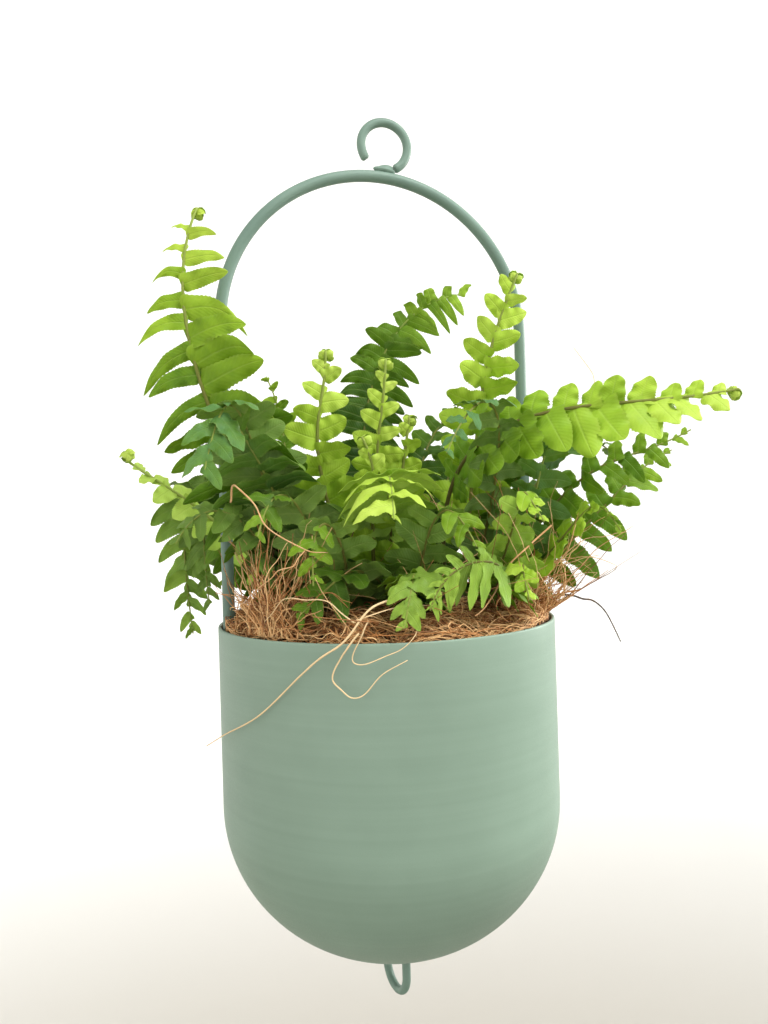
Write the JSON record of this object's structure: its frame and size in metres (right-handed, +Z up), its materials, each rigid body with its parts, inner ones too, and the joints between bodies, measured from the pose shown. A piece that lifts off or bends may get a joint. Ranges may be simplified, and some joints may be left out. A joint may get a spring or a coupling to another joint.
{
  "type": "potted fern in hanging pot",
  "caption": "Young Boston fern in a bullet-shaped hanging metal pot with an arched rod handle, an open ring on top and a small loop below.",
  "frame": {"origin": "inner top of the hanging ring, where it bears on its hook", "axes": "+Z up through the ring, the handle's plane is XZ, the front faces -Y"},
  "size_m": [0.2037, 0.1296, 0.3185],
  "materials": {
    "powder_coat": "matt sage green powder coat",
    "growing_mix": "rough",
    "coir": "fibrous",
    "crown": "rough",
    "runner": "matt",
    "leaf_lime": "satin leaf",
    "leaf_green": "satin leaf",
    "leaf_deep": "satin leaf"
  },
  "bodies": {
    "root": {"bottom_loop": "powder_coat", "coir_mat": "coir", "crown_left": "crown", "crown_middle": "crown", "crown_right": "crown", "fibre_tuft_left": "coir", "fibre_tuft_right": "coir", "frond_back_dip_left": "leaf_green", "frond_back_dip_right": "leaf_green", "frond_back_droop": "leaf_green", "frond_back_left": "leaf_green", "frond_back_low": "leaf_green", "frond_back_mid": "leaf_deep", "frond_big_left": "leaf_deep", "frond_crozier_left": "leaf_lime", "frond_dark_back": "leaf_deep", "frond_droop_left": "leaf_green", "frond_far_left": "leaf_deep", "frond_front_fill": "leaf_deep", "frond_front_hang": "leaf_deep", "frond_front_low": "leaf_green", "frond_left_fill": "leaf_deep", "frond_left_over": "leaf_deep", "frond_lime_front": "leaf_lime", "frond_long_right": "leaf_lime", "frond_low_left": "leaf_green", "frond_mid_back": "leaf_deep", "frond_mid_front": "leaf_green", "frond_mid_left": "leaf_deep", "frond_mid_right": "leaf_deep", "frond_right_fill": "leaf_deep", "frond_right_low": "leaf_lime", "frond_right_mid": "leaf_deep", "frond_right_olive": "leaf_green", "frond_right_up": "leaf_green", "frond_rim_front": "leaf_lime", "frond_side_left": "leaf_deep", "frond_small_left": "leaf_lime", "frond_small_mid": "leaf_lime", "frond_small_right": "leaf_lime", "frond_spike_right": "leaf_lime", "frond_tall_left": "leaf_green", "frond_young_left": "leaf_lime", "frond_young_mid": "leaf_lime", "frond_young_right": "leaf_lime", "hanger_arch": "powder_coat", "hanging_ring": "powder_coat", "leg_weld_left": "powder_coat", "leg_weld_right": "powder_coat", "loop_weld_back": "powder_coat", "loop_weld_front": "powder_coat", "pot_shell": "powder_coat", "ring_weld": "powder_coat", "root_ball": "growing_mix", "runner_high": "runner", "runner_hook": "runner", "runner_left": "runner", "runner_long": "runner", "runner_right": "runner", "runner_rim": "runner"}
  },
  "joints": []
}
